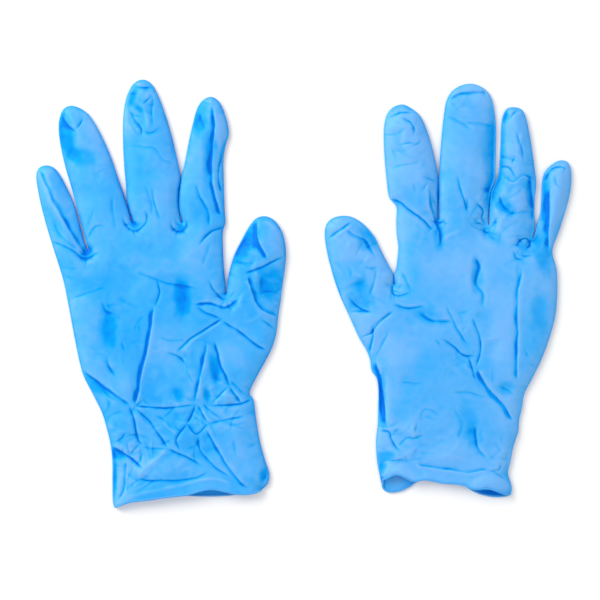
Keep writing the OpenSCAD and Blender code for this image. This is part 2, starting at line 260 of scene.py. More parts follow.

# Creases: kind, depth, width, points. A valley sinks to a sharp line and a ridge rises
# to one. A step is a fold of film over film: it is low on its left side, looking along it. Each paints
# shade and highlights on the film along it.
LEFT_CREASES = [
    # little finger
    ("step", 1.3, 5, [(-75.5, 130), (-71.2, 120), (-64.6, 106.6), (-59, 96.5), (-53, 87.5),
                      (-49.5, 83)]),
    ("valley", 0.5, 4, [(-67, 101.6), (-64.6, 95.5), (-60, 90.5), (-53, 85.4)]),
    ("valley", 0.9, 3, [(-68, 89.5), (-61, 87.5), (-55, 84), (-50, 80.4), (-45, 81.4), (-43, 84)]),
    ("valley", 0.6, 3, [(-48, 91.5), (-43, 97.6), (-38, 98.6)]),
    ("valley", 0.4, 2.5, [(-63, 75.4), (-54, 74.3)]),
    ("valley", 0.4, 2.5, [(-61, 71.3), (-56, 68.3)]),
    # ring finger
    ("valley", 0.8, 2.5, [(-50.5, 160), (-51, 157), (-55, 152)]),
    ("valley", 0.7, 4, [(-61, 163), (-61.6, 159), (-58, 154), (-54, 151)]),
    ("ridge", 0.4, 2, [(-58, 163), (-54.5, 163), (-53.5, 160), (-56, 157.5)]),
    ("valley", 0.4, 3.5, [(-34, 116), (-33, 101.6), (-32, 96.5)]),
    ("valley", 0.3, 3, [(-44, 108.5), (-46.5, 101.5), (-48, 95.5)]),
    ("valley", 0.3, 3, [(-45, 127), (-40, 130), (-35, 131)]),
    # middle finger
    ("valley", 0.9, 3, [(-21.7, 177.3), (-16.7, 176.3), (-11.5, 177)]),
    ("valley", 0.8, 2.2, [(-11.6, 172.2), (-14.2, 169.2), (-16.7, 167.2)]),
    ("valley", 0.5, 2.5, [(-13.7, 174.2), (-11.3, 170), (-11.8, 162), (-11.2, 155)]),
    ("valley", 0.9, 3, [(-23.7, 163), (-20.7, 157), (-17.7, 153), (-17.2, 149)]),
    ("valley", 0.6, 2.4, [(-25, 163), (-21.7, 161), (-15.7, 160)]),
    ("ridge", 0.6, 2.4, [(-16.2, 166), (-14.7, 160), (-14, 153)]),
    ("valley", 0.5, 2.4, [(-16.7, 152), (-11.6, 151), (-6.6, 155)]),
    ("valley", 0.4, 3, [(-23.7, 144), (-15.7, 143), (-9.6, 142), (-5.6, 136), (1, 133)]),
    ("valley", 0.6, 4, [(-11.6, 120), (-9.6, 110), (-6.6, 101.6)]),
    ("valley", 0.4, 3, [(-16, 122), (-12, 112), (-11, 104)]),
    # index finger
    ("valley", 0.7, 2.6, [(17.6, 168.2), (21, 167.2), (24, 167.7)]),
    ("step", 1.6, 6, [(28, 104.6), (25.7, 111.7), (23.2, 122), (22.8, 136), (24.2, 152), (23.7, 167)]),
    ("valley", 0.9, 2.2, [(29.7, 147), (27.2, 136), (25.8, 128), (27.6, 117)]),
    ("valley", 0.5, 2.6, [(14.6, 162), (18.6, 153)]),
    ("valley", 0.7, 4, [(13, 122), (15.6, 114.7), (20.2, 106.6), (20.7, 98.6)]),
    ("valley", 0.9, 3, [(29, 97.6), (22.7, 95.5), (14.6, 87.5)]),
    ("valley", 0.4, 3, [(21.7, 89.5), (18.6, 81.4), (16.6, 75.4)]),
    # crotches
    ("valley", 1.1, 2, [(-22.8, 101.5), (-19.7, 98.5)]),
    ("valley", 0.9, 2.4, [(-28, 102.6), (-26, 98.6), (-20.7, 95.6), (-16.5, 98.2), (-14.2, 103.6),
                          (-15.5, 107)]),
    ("valley", 0.9, 2.4, [(-1, 101), (0.5, 97), (4.7, 95.2), (7.6, 98), (7, 102.6)]),
    ("valley", 0.6, 1.8, [(1, 103.5), (3, 99.6), (5.4, 98.6)]),
    ("valley", 0.9, 2.4, [(20.7, 68), (23.7, 62), (28.2, 57.4), (31, 58.4)]),
    ("valley", 1.1, 4, [(12.6, 54), (20.7, 55), (29.7, 52.5), (37.8, 57)]),
    # thumb
    ("step", 1.5, 6, [(54.5, 79.4), (50.4, 87.5), (47.9, 95.5), (48, 102)]),
    ("valley", 1.2, 3, [(40.3, 71.8), (47, 74.2), (54, 76.9), (62.5, 81.2)]),
    ("ridge", 0.6, 2.4, [(50, 101), (55, 99.6), (59.5, 95.5)]),
    ("step", 1.4, 6, [(41.8, 70.3), (42.6, 66), (45, 60), (48, 53), (53, 49), (59, 46.4)]),
    ("valley", 0.7, 3, [(50, 46), (58, 39.8)]),
    ("valley", 0.4, 3, [(35, 79), (40, 77.5), (46, 78)]),
    # palm
    ("step", 1.9, 6, [(-20.2, -2.5), (-16.9, 14.6), (-13.9, 27.7), (-10.8, 43), (-10, 53)]),
    ("valley", 0.8, 2.6, [(-8.6, 68), (-7.1, 61), (-10, 53)]),
    ("valley", 1.0, 3, [(-20, -3), (-5.6, -4), (12.8, -2.6)]),
    ("valley", 1.0, 3, [(-20, -4), (-10.6, -14.6), (-2.6, -26.7)]),
    ("valley", 0.9, 3, [(-2.6, -27.3), (8.5, -31.8), (15.6, -36.8)]),
    ("ridge", 0.9, 4, [(-2.6, -27.3), (-15.7, -38.4), (-19.2, -43.9)]),
    ("valley", 0.7, 3, [(-19.2, -44), (-5.6, -45), (14.6, -44), (19.6, -42)]),
    ("step", 1.6, 5, [(13.1, -1.5), (16.6, 15.6), (20.4, 32.8)]),
    ("valley", 1.1, 3.6, [(23.6, 33), (27.7, 18.7), (31.8, 8.6)]),
    ("valley", 1.5, 3.4, [(31.8, 8.6), (38.8, -1.5)]),
    ("valley", 0.9, 2.6, [(31.8, 8.6), (21.2, -2.5)]),
    ("valley", 1.1, 2.6, [(21.2, -2.5), (38.8, -1.5), (44.6, 1)]),
    ("valley", 0.9, 2.6, [(32.4, 11.6), (41, 4)]),
    ("valley", 1.1, 2.6, [(13.1, -1.5), (10.6, -8.6), (8, -12.6)]),
    ("valley", 0.9, 2.6, [(13.6, -2.5), (20.7, -12.6)]),
    ("valley", 0.9, 2.6, [(20.7, -12.6), (13.6, -18.7), (8, -12.6)]),
    ("valley", 0.9, 2.6, [(8, -12.6), (2.5, -21.7), (4.5, -27.8)]),
    ("valley", 0.8, 3, [(20.7, -12.6), (29.7, -10.6), (40.8, -8.6)]),
    ("valley", 0.6, 2.2, [(16.6, -0.6), (20.7, -5), (28, -10.6)]),
    ("step", 1.4, 4.5, [(43, -48.6), (32.8, -38), (26.7, -27.8), (19.6, -15.7)]),
    ("valley", 0.8, 3.4, [(14.6, -19.7), (15.6, -27.8), (22.7, -36.8), (31.8, -43)]),
    ("valley", 0.5, 3, [(33.8, -20.7), (35.8, -30.8)]),
    ("valley", 1.1, 3, [(2.5, 27.7), (4.5, 29.8), (14.6, 37.8), (27.7, 46)]),
    ("ridge", 0.6, 1.8, [(5.6, 28.2), (15.6, 36.6), (28, 44.6)]),
    ("valley", 1.0, 3, [(28.7, 44.4), (39.8, 37.8), (47.9, 31.3), (53, 28.7)]),
    ("valley", 0.7, 3, [(13.6, 53), (20.7, 49), (27.7, 46)]),
    ("valley", 0.8, 2.8, [(-2.6, 27.2), (3.5, 24.7), (7.5, 20.7)]),
    ("valley", 0.4, 2.4, [(-8, 36), (0, 33.6), (8, 34.4)]),
    ("valley", 0.6, 4, [(-40, 56), (-38, 51), (-32.8, 49)]),
    ("valley", 0.5, 2.4, [(-57, 57.5), (-48, 60.5), (-38, 64)]),
    ("valley", 0.6, 3.6, [(-37.4, 24.7), (-35.8, 19.7), (-31.8, 13.6)]),
    ("valley", 0.5, 3.4, [(-28.8, 33.8), (-26.8, 27.7)]),
    ("valley", 1.0, 4, [(-50, 17), (-38, 7.6), (-23.7, -2.5)]),
    ("valley", 1.1, 3.4, [(-23.7, -3.5), (-20.7, -14.6), (-18.7, -22.7), (-16.7, -24.7)]),
    ("valley", 0.5, 3, [(-20, 73), (-9.6, 68.3), (2, 65.4), (14.6, 63.2)]),
    ("valley", 0.5, 3, [(-39, -8), (-36, -2), (-37, 2)]),
    # cuff
    ("valley", 1.3, 3, [(-34, -25.7), (-29.8, -28.8), (-23.7, -31.8), (-19.7, -35.8), (-16.2, -38.4)]),
    ("valley", 0.8, 2.6, [(-34, -23.2), (-31, -22.6), (-25.8, -17.7)]),
    ("valley", 0.7, 2.4, [(-25.8, -22.7), (-24.2, -30.8)]),
    ("valley", 0.7, 2.4, [(-24.8, -30.8), (-17.7, -23.7)]),
    ("valley", 0.8, 3, [(-26.3, -33.8), (-26.8, -43), (-27.8, -51), (-31, -56)]),
    ("valley", 0.7, 2.6, [(-25.8, -50), (-18.7, -44)]),
    ("valley", 0.5, 2.6, [(-17.7, -24.7), (-18.2, -36.8)]),
    ("valley", 0.5, 2.4, [(-17.7, -25.7), (-2.6, -27.3)]),
    ("valley", 0.5, 2.4, [(47.6, -24), (42, -27)]),
    ("valley", 0.6, 2.4, [(53, -41), (51, -46)]),
    ("ridge", 0.5, 2.2, [(-24, -54.4), (-6, -49.6), (19.6, -46), (34, -47)]),
]
RIGHT_CREASES = [
    # thumb
    ("valley", 1.0, 2.6, [(-68.6, 86.8), (-63, 90.5), (-56, 96)]),
    ("ridge", 0.6, 2, [(-66.4, 86.4), (-61, 89.8), (-55, 94.6)]),
    ("step", 1.0, 5, [(-40.7, 75.4), (-47.7, 86.5), (-53.8, 89.5), (-59.8, 93.6)]),
    ("valley", 0.5, 3, [(-49.7, 84.5), (-53.8, 75.4)]),
    ("valley", 0.7, 2.6, [(-48.2, 70.4), (-44.7, 69.3), (-40.7, 70.4)]),
    ("valley", 0.8, 4, [(-41.7, 69.3), (-43.2, 60.3), (-45.7, 54.2)]),
    ("valley", 0.4, 3, [(-56, 70.5), (-56.5, 64)]),
    ("valley", 0.8, 3, [(-57.4, 53), (-50.7, 47), (-43.7, 44)]),
    ("valley", 0.6, 3, [(-57.4, 45.6), (-50, 45.4), (-44, 45.4)]),
    ("valley", 1.1, 2.6, [(-32.6, 45.4), (-40.7, 38.4), (-44.7, 33.3), (-50.6, 30.3)]),
    ("step", 1.8, 4, [(-44.6, 20.7), (-43.6, 26.8), (-42.4, 38)]),
    ("valley", 0.6, 2.4, [(-34.6, 34.8), (-38.6, 26.8), (-42.2, 18.7)]),
    # side strip and the little-finger side of the cuff
    ("step", 1.9, 8, [(-35.6, -19.6), (-36.6, -9.5), (-38.4, 6.6), (-41.4, 17.4)]),
    ("valley", 0.9, 2.2, [(-40.2, -19.4), (-35.6, -19.6)]),
    ("valley", 1.1, 2.6, [(-40.2, -22.2), (-34.6, -22.7), (-33.1, -26.2), (-28.5, -33.8)]),
    ("valley", 0.7, 2.4, [(-33.6, -23.7), (-28.5, -19.6)]),
    ("valley", 0.8, 2.4, [(-29.1, -30.2), (-24.5, -25.7), (-20.5, -26.2), (-14.9, -24.2)]),
    ("valley", 0.7, 2.2, [(-18.5, -17), (-20.5, -23.7)]),
    ("valley", 0.4, 2.4, [(-40.6, -31.8), (-34.6, -31.8)]),
    ("valley", 0.4, 3, [(-17.6, -16), (-14.4, -9.6), (-8.4, -11.4), (-7, -14)]),
    # index finger
    ("valley", 0.9, 2.6, [(-34.6, 154.6), (-28.5, 157), (-21.5, 157.6)]),
    ("valley", 1.0, 2.8, [(-28.5, 154), (-22.5, 152), (-20.5, 148), (-21.5, 144)]),
    ("valley", 0.5, 2.4, [(-33, 152), (-25.5, 150)]),
    ("valley", 0.9, 2.4, [(-28.5, 139.5), (-20.5, 140.5)]),
    ("valley", 0.7, 2.6, [(-16.4, 143), (-18.5, 139.5), (-22.5, 138)]),
    ("valley", 0.5, 2.8, [(-32.6, 126), (-24.5, 128), (-16.4, 130)]),
    ("valley", 1.2, 3, [(-33.4, 109), (-30, 107.6), (-22.5, 101.6), (-15.4, 96.6), (-9.4, 91.5)]),
    ("valley", 0.5, 2.6, [(-21.5, 118.8), (-19.5, 111.7)]),
    ("valley", 0.7, 2.4, [(-12.4, 118.3), (-16.4, 112.7)]),
    ("valley", 0.6, 2.4, [(-14.9, 121.3), (-7.8, 119)]),
    ("step", 1.3, 4, [(-12.9, 115.8), (-12.4, 106.7), (-9.4, 97.6), (-6.4, 88.5), (-6.9, 81.5)]),
    ("valley", 0.8, 2.4, [(-10.4, 110.7), (-8, 104.4)]),
    ("valley", 1.0, 1.8, [(-10, 96.4), (-6.4, 95.4), (-3.4, 96), (-2.8, 92)]),
    # middle finger
    ("step", 1.5, 4, [(20.9, 166.2), (19.9, 169.2), (4.8, 168.5), (-0.6, 165.4)]),
    ("valley", 0.5, 3, [(-1.3, 155), (7.8, 151), (11.8, 147)]),
    ("valley", 0.5, 4, [(7.8, 152), (24.6, 150)]),
    ("valley", 0.8, 2.6, [(3.2, 121.8), (6.8, 110.7), (10.3, 100.6)]),
    ("valley", 0.7, 2.4, [(8.8, 109.7), (10.8, 102.6)]),
    ("valley", 1.0, 1.8, [(14.8, 106.7), (18.6, 101.6), (17.9, 97.6), (20.6, 94)]),
    ("valley", 1.0, 1.8, [(21, 92.6), (18.4, 91), (22.9, 89.6)]),
    # ring finger
    ("valley", 1.0, 1.9, [(28.4, 126.9), (33, 126.4), (37, 120.3)]),
    ("step", 1.3, 3, [(28.2, 121.8), (35, 117.8), (41.1, 121.3), (46.6, 118.8)]),
    ("valley", 0.8, 2.2, [(36, 132.9), (34, 127.9)]),
    ("valley", 0.6, 2.6, [(37, 147), (39.6, 139), (41.1, 129)]),
    ("valley", 1.0, 2.4, [(33, 153.6), (35.4, 157), (38.6, 159.4)]),
    ("valley", 0.9, 4, [(44.1, 121.8), (46.6, 107), (46.6, 96.6)]),
    ("valley", 0.5, 3, [(25.9, 98.6), (24.9, 89.5)]),
    ("valley", 0.8, 3.4, [(27, 111), (30, 104), (34, 101)]),
    # little finger and its crotch
    ("valley", 1.0, 1.9, [(37, 81.5), (39.1, 85.5), (43.1, 86.2), (45.1, 82.5), (42.1, 80.5)]),
    ("valley", 0.9, 2.2, [(39.1, 79.4), (41.1, 76.4), (46.1, 77)]),
    ("valley", 0.9, 3.4, [(36, 80.4), (37, 75.4), (41.1, 74)]),
    ("valley", 1.4, 2.4, [(46.2, 86.2), (43.6, 81.5)]),
    ("valley", 1.1, 3, [(53.2, 118.8), (56.2, 124.6), (62.3, 126.9), (64.8, 125.8), (63.3, 122.8)]),
    ("step", 1.5, 7, [(55.8, 80.4), (56.2, 101.6), (56.4, 115)]),
    ("valley", 0.7, 2.6, [(58.7, 122.8), (60.2, 116.8), (64.3, 113.7)]),
    # palm
    ("step", 1.6, 5, [(38.4, 6.6), (38, 14.7), (38.5, 32.8), (38.5, 55), (39.6, 61.3), (40.6, 69.3)]),
    ("valley", 0.6, 2.4, [(41.6, 23.7), (44.6, 19.2)]),
    ("valley", 0.5, 2.4, [(43.6, 16.7), (48, 14)]),
    ("valley", 0.9, 5, [(13.8, 76.4), (15.8, 70.4), (14.4, 60.3), (18.2, 55), (17.9, 48)]),
    ("valley", 0.7, 3, [(-2.3, 48), (1.7, 39), (8.8, 26.8)]),
    ("valley", 1.1, 2.8, [(11.8, 42), (16.4, 30.8), (16.9, 22.7), (14.3, 14.7)]),
    ("valley", 1.0, 2.4, [(-4.3, 29.8), (2.7, 25.3), (7.3, 21.2), (13.3, 20.2)]),
    ("valley", 1.0, 2.4, [(10.3, 19.7), (12.3, 12.7), (14.3, 6.1)]),
    ("step", 1.8, 7, [(36, -16.6), (30, -6.5), (21.9, 2.6), (15.3, 13.7)]),
    ("valley", 1.1, 4, [(-31.6, 49.5), (-25.5, 47.5), (-14.4, 48)]),
    ("valley", 0.7, 5, [(-18.5, 45), (-10.4, 40), (0.7, 39.4)]),
    ("valley", 0.5, 2.6, [(1.7, 0), (11.8, -0.5), (19.9, -3)]),
    ("valley", 0.4, 2.6, [(-28.5, 5.6), (-13.4, 4.6)]),
    ("valley", 0.6, 3.4, [(28, 3.6), (36, -1.5)]),
    ("valley", 0.8, 4, [(13.8, -19.6), (14.8, -30.7), (20.9, -38.8)]),
    ("valley", 0.4, 4, [(2, -9), (6, -18), (4, -27)]),
    ("valley", 0.6, 2.6, [(-8.4, 29.8), (-5.6, 25.4)]),
    # mouth
    ("step", 1.5, 3.4, [(-19.5, -41.6), (-8.4, -43.1), (6.8, -45.6), (21.9, -45.8)]),
    ("valley", 0.9, 2.4, [(22.9, -44.9), (30, -49.4)]),
    ("valley", 0.8, 2.2, [(28.6, -39.8), (27.4, -44.2), (22, -46)]),
    ("valley", 0.8, 2.4, [(-35.4, -40.8), (-29, -40), (-23.5, -41.3)]),
    ("valley", 0.6, 2.4, [(-26.6, -36), (-24, -41.4)]),
    ("valley", 1.0, 2.2, [(-32, 62), (-32.3, 57.4), (-28.5, 56.4)]),
    ("valley", 0.9, 2.6, [(-34, 58.2), (-30.6, 54.2), (-22.5, 56.2)]),
    ("valley", 0.6, 4, [(-28, 68.3), (-24.5, 62.3), (-22.5, 56.2)]),
]

# Dents and swells: x, y, two radii, turn in degrees, rise. Where the film sinks on to the
# layer under it, painted shade darkens it, and a swell is painted lighter.
LEFT_DENTS = [
    (-59.5, 148, 4.5, 12, 14, -1.1), (-51, 138, 8, 5, -20, -0.8), (-46, 146, 9, 12, 20, 0.6),
    (-22.5, 171, 2.2, 5.5, -20, -0.8), (-18.6, 164.5, 4.2, 1.8, -35, -0.6), (-14.5, 171.8, 4, 3, 0, 0.6),
    (16, 158, 4, 10, -10, -0.8), (21, 141, 3.5, 16, -4, -0.9), (27.5, 152, 3, 9, 0, 0.7),
    (41, 88, 5, 11, -40, -1.0), (55, 66, 7, 9, 0, -1.1), (57, 90, 5, 9, 10, 0.7),
    (36, 66, 5, 8, 0, 0.6), (5.6, 58, 4.5, 11, 0, -1.0), (-10, 76, 14, 6, -10, 0.5),
    (-36, 42, 5, 11, 0, -0.7), (-48, 48, 8, 14, 10, 0.5), (-42, 8, 7, 3.5, -38, -0.8),
    (24, 17, 3, 8, 10, -0.9), (3, 3.5, 4, 5, 0, -0.7), (-6, 15, 7, 12, 0, 0.4),
    (33, 26, 7, 8, 0, 0.5), (-5, -38, 13, 5, 6, 0.6), (38, -34, 7, 11, 8, 0.5),
    (-48.5, 83, 3, 4.5, -20, -1.1), (5, 96.6, 2.6, 2.6, 0, -0.7), (-21, 98.6, 2.6, 2.6, 0, -0.6),
    (-67, 112, 3, 12, 20, 0.5), (-10, 140, 8, 14, 0, 0.4), (-40, 106, 7, 12, 12, 0.4),
    (-52, 64, 7, 6, 0, -0.4), (12, 80, 9, 10, 0, 0.4), (-25, 8, 5, 8, 15, 0.5),
    (51.5, -42, 2.5, 4, -20, -0.9), (19.5, 3, 2, 4, 10, -0.8), (-33, -44, 1.8, 12, 0, -0.8),
    (-31, -30, 5, 3, -20, -0.8)]
RIGHT_DENTS = [
    (-46, 86, 6, 7, 30, -0.9), (-50, 59, 4.5, 5, 0, -0.9), (-50, 50, 7.5, 5, 0, -1.0),
    (-58, 80, 8, 9, 0, 0.5), (-38.4, -4, 2, 13, 0, -1.2), (25.2, 134, 5.4, 22, 0, -1.3),
    (22.6, 113, 4, 10, -8, -0.9),
    (8, 138, 8, 18, 0, 0.6), (12, 171.5, 7, 2, 0, 0.6), (31, 155.5, 2.4, 3.4, 0, -0.9),
    (29.4, 106, 4.5, 4, 30, -0.8), (33, 101.6, 3.4, 3.4, 0, -0.7), (45.5, 112, 3, 10, 5, -0.8),
    (53.6, 104, 2.6, 17, 0, -1.1), (52, 79, 5, 12, 12, -1.0), (61, 108, 4, 12, -8, 0.7),
    (42, 80.5, 4.6, 4.6, 0, -0.6), (-6.8, 89, 3, 8, 4, -0.8), (23.5, 88, 6, 3.5, -35, -0.7),
    (15, 66, 3.4, 9, 0, -0.9), (-12, 42, 9, 4, -15, -0.6), (29, 34, 7, 22, 0, 0.5),
    (50, 44, 4.5, 13, 0, -0.6), (-26, 22, 9, 13, 0, 0.5), (31, 2, 5, 4, 20, -0.7),
    (-28, -51, 8, 6, 0, 1.2), (22, -53, 9, 5, 0, 1.0), (0, -34, 14, 7, 0, 0.5),
    (9, -16, 5, 9, 0, -0.5), (-32, 8, 5, 18, 3, 0.5), (-26, 148, 8, 9, 0, 0.4),
    (-22, 122, 8, 7, 0, 0.4), (37, 108, 5, 6, 0, 0.6), (-36.5, -37, 4.5, 4, 0, -1.0),
    (-38.5, -45, 2.6, 5, 0, -0.8), (13, -25, 4, 7, 10, -0.6)]


# Where the film is crushed: x, y, two radii, strength
LEFT_CRUSHED = [
    (2, -18, 34, 20, 0.9), (-24, -32, 12, 16, 1.0), (36, 0, 14, 14, 0.8), (-20, 165, 8, 14, 0.9),
    (20, 158, 6, 10, 0.6), (52, 70, 10, 26, 0.7), (-34, 30, 22, 30, 0.5), (6, 22, 16, 16, 0.6),
    (-58, 160, 7, 7, 0.6), (30, 60, 10, 12, 0.7)]
RIGHT_CRUSHED = [
    (-25, 146, 10, 14, 0.8), (-10, 108, 10, 20, 0.7), (22, 100, 8, 14, 0.8), (38, 112, 9, 26, 0.8),
    (45, 84, 10, 14, 0.9), (-54, 66, 14, 30, 0.6), (-28, -30, 14, 16, 0.8), (4, -26, 26, 14, 0.45),
    (10, 28, 14, 20, 0.6), (30, -40, 8, 12, 0.7), (10, 166, 12, 6, 0.6)]

# Where the film is drawn into a knot between two fingers: x, y, radius, number of folds
LEFT_PUCKERS = [(-22, 98.2, 7, 7), (5.2, 97.6, 6.5, 7), (-46.4, 82, 6.5, 5), (30.6, 57.6, 7, 6)]
RIGHT_PUCKERS = [(-6.6, 94.4, 7, 7), (21, 92, 7.5, 8), (41, 82, 7.5, 7), (46.6, 84, 5, 4),
                 (-31.6, 58, 7.5, 7)]


# Each glove's plan, its seed and how dark its film is as a whole
GLOVES = {
    "left": dict(
        outline=LEFT_OUTLINE, mouth=LEFT_MOUTH, pulls=LEFT_PULLS, creases=LEFT_CREASES, dents=LEFT_DENTS,
        crushed=LEFT_CRUSHED, puckers=LEFT_PUCKERS, seed=11, tone=0.38),
    "right": dict(
        outline=RIGHT_OUTLINE, mouth=RIGHT_MOUTH, pulls=RIGHT_PULLS, creases=RIGHT_CREASES,
        dents=RIGHT_DENTS, crushed=RIGHT_CRUSHED, puckers=RIGHT_PUCKERS, seed=24, tone=0.21)}


# ---------------------------------------------------------------- curves
def smooth_path(points, step, closed=False):
    """Points about step apart on a centripetal Catmull-Rom curve through the given ones."""
    pts = [np.array(p, float) for p in points]
    n = len(pts)
    if n == 2:
        count = max(1, round(np.linalg.norm(pts[1] - pts[0]) / step))
        return np.array([pts[0] + (pts[1] - pts[0]) * k / count for k in range(count + 1)])
    out = []
    for i in range(n if closed else n - 1):
        if closed:
            a, b, c, d = (pts[(i + k) % n] for k in (-1, 0, 1, 2))
        else:
            b, c = pts[i], pts[i + 1]
            a = pts[i - 1] if i else 2 * b - c
            d = pts[i + 2] if i + 2 < n else 2 * c - b
        t0 = 0.0
        t1 = t0 + max(np.linalg.norm(b - a), 1e-6) ** 0.5
        t2 = t1 + max(np.linalg.norm(c - b), 1e-6) ** 0.5
        t3 = t2 + max(np.linalg.norm(d - c), 1e-6) ** 0.5
        count = max(1, round(np.linalg.norm(c - b) / step))
        for k in range(count):
            t = t1 + (t2 - t1) * k / count
            a1 = (t1 - t) / (t1 - t0) * a + (t - t0) / (t1 - t0) * b
            a2 = (t2 - t) / (t2 - t1) * b + (t - t1) / (t2 - t1) * c
            a3 = (t3 - t) / (t3 - t2) * c + (t - t2) / (t3 - t2) * d
            b1 = (t2 - t) / (t2 - t0) * a1 + (t - t0) / (t2 - t0) * a2
            b2 = (t3 - t) / (t3 - t1) * a2 + (t - t1) / (t3 - t1) * a3
            out.append((t2 - t) / (t2 - t1) * b1 + (t - t1) / (t2 - t1) * b2)
    if not closed:
        out.append(pts[-1])
    return np.array(out)


def smoothstep(t):
    """An ease from 0 at t = 0 to 1 at t = 1."""
    t = np.clip(t, 0, 1)
    return t * t * (3 - 2 * t)


def path_reading(points, path):
    """For each point: its distance to the path, that distance signed plus on the path's
    left, and where along the path it is nearest, from 0 to 1."""
    best = np.full(len(points), 1e9)
    side = np.zeros(len(points))
    share = np.zeros(len(points))
    count = len(path) - 1
    for k in range(count):
        a, d = path[k], path[k + 1] - path[k]
        t = np.clip(((points - a) @ d) / max(d @ d, 1e-12), 0, 1)
        off = points - a - t[:, None] * d
        dist = np.hypot(off[:, 0], off[:, 1])
        near = dist < best
        best[near] = dist[near]
        cross = d[0] * off[:, 1] - d[1] * off[:, 0]
        side[near] = np.sign(cross[near]) * dist[near]
        share[near] = (k + t[near]) / count
    return best, side, share


class Noise:
    """Smooth repeatable noise over the plan, about -1 to 1."""

    CELLS = 64  # the pattern repeats after this many cells

    def __init__(self, seed):
        rng = np.random.default_rng(seed)
        turn = rng.uniform(0, 2 * math.pi, (self.CELLS, self.CELLS))
        self.gx, self.gy = np.cos(turn), np.sin(turn)

    def __call__(self, points, size, shift):
        """Noise with features of this size. Each use has its own shift, and so its own part
        of the pattern."""
        p = (points + shift) / size
        cell = np.floor(p).astype(int)
        f = p - cell
        ease = f * f * f * (f * (f * 6 - 15) + 10)
        corner = {}
        for dx in (0, 1):
            for dy in (0, 1):
                i, j = (cell[:, 0] + dx) % self.CELLS, (cell[:, 1] + dy) % self.CELLS
                corner[dx, dy] = self.gx[i, j] * (f[:, 0] - dx) + self.gy[i, j] * (f[:, 1] - dy)
        low = corner[0, 0] + (corner[1, 0] - corner[0, 0]) * ease[:, 0]
        high = corner[0, 1] + (corner[1, 1] - corner[0, 1]) * ease[:, 0]
        return 1.5 * (low + (high - low) * ease[:, 1])

    def waves(self, points, terms):
        """A sum of terms: how strong each is, its size and its shift."""
        return sum(strength * self(points, size, shift) for strength, size, shift in terms)

    def wrinkles(self, points, terms):
        """The same with each term folded at zero, so that it turns sharply there."""
        return sum(strength * np.abs(self(points, size, shift)) for strength, size, shift in terms)

    def drift(self, points, size, shifts):
        """A sideways push for each point."""
        return np.stack([self(points, size, shift) for shift in shifts], 1)


# ---------------------------------------------------------------- plan and triangles
def fold_lines(name):
    """The frame's fold lines: each joint's name, its place and its direction in the plan."""
    out = []
    for joint in JOINTS.values():
        if joint["type"] == "hinge" and joint["child"].startswith(name):
            place = np.array(joint["pos_m"][:2]) / MM
            out.append((joint["name"], place, np.array(joint["axis"][:2])))
    return out


def crossings(outline, place, direction):
    """Where a line crosses the closed outline nearest to place, one way and the other:
    the outline segment's number and the point."""
    normal = np.array([-direction[1], direction[0]])
    nxt = np.roll(outline, -1, axis=0)
    h0, h1 = (outline - place) @ normal, (nxt - place) @ normal
    found = []
    for k in np.nonzero((h0 > 0) != (h1 > 0))[0]:
        point = outline[k] + (nxt[k] - outline[k]) * h0[k] / (h0[k] - h1[k])
        found.append(((point - place) @ direction, k, point))
    ahead = min((f for f in found if f[0] > 0), key=lambda f: f[0])
    behind = max((f for f in found if f[0] <= 0), key=lambda f: f[0])
    return behind, ahead


def plan_of(name, spec, origin):
    """The glove's outline in the row frame, which of its points lie on the mouth, and its
    fold lines, whose ends are outline points."""
    sides = [np.array(p, float) + origin for p in spec["outline"]]
    rim = smooth_path(sides, RIM_STEP, closed=True)
    first_mouth = sides[-spec["mouth"]]
    start = int(np.argmin(np.hypot(*(rim - first_mouth).T)))
    mouth = np.zeros(len(rim), bool)
    mouth[start:] = True
    mouth[0] = True
    folds = []
    for joint_name, place, direction in fold_lines(name):
        ends = crossings(rim, place, direction)
        for _, k, point in ends:
            pair = [k, (k + 1) % len(rim)]
            near = min(pair, key=lambda j: np.hypot(*(rim[j] - point)))
            rim[near] = point
        folds.append((joint_name, place, direction, ends[0][2], ends[1][2]))
    return rim, mouth, folds


def lattice(rim, step):
    """A triangular lattice of points over the outline's box."""
    low, high = rim.min(0), rim.max(0)
    rows = int((high[1] - low[1]) / (step * 0.866)) + 1
    cols = int((high[0] - low[0]) / step) + 1
    j, i = np.mgrid[0:rows, 0:cols]
    x = low[0] + (i + 0.5 * (j % 2)) * step
    y = low[1] + j * step * 0.866
    return np.stack([x.ravel(), y.ravel()], 1)


def inside(points, rim):
    """Which points lie inside the closed outline."""
    x, y = points[:, 0], points[:, 1]
    hits = np.zeros(len(points), bool)
    for a, b in zip(rim, np.roll(rim, -1, axis=0)):
        if a[1] == b[1]:
            continue
        span = (a[1] > y) != (b[1] > y)
        hits ^= span & (x < a[0] + (y - a[1]) * (b[0] - a[0]) / (b[1] - a[1]))
    return hits


def tree_of(points):
    """A search tree of plan points."""
    tree = kdtree.KDTree(len(points))
    for k, p in enumerate(points):
        tree.insert((p[0], p[1], 0), k)
    tree.balance()
    return tree


def nearest(points, tree):
    """Each point's distance to the nearest of the tree's."""
    return np.array([tree.find((p[0], p[1], 0))[2] for p in points])


def inward(rim):
    """Unit normals that point into a clockwise outline."""
    tangent = np.roll(rim, -1, axis=0) - np.roll(rim, 1, axis=0)
    tangent /= np.linalg.norm(tangent, axis=1)[:, None]
    return np.stack([tangent[:, 1], -tangent[:, 0]], 1)


def fold_rows(points, rim, folds, step):
    """Adds the fold lines' points and returns their edges. They end at outline points."""
    rim_index = {tuple(p): k for k, p in enumerate(rim)}
    edges = []
    for _, _, _, a, b in folds:
        ids = [rim_index[tuple(a)]]
        for p in smooth_path([a, b], step)[1:-1]:
            ids.append(len(points))
            points.append(tuple(p))
        ids.append(rim_index[tuple(b)])
        edges += zip(ids, ids[1:])
    return edges


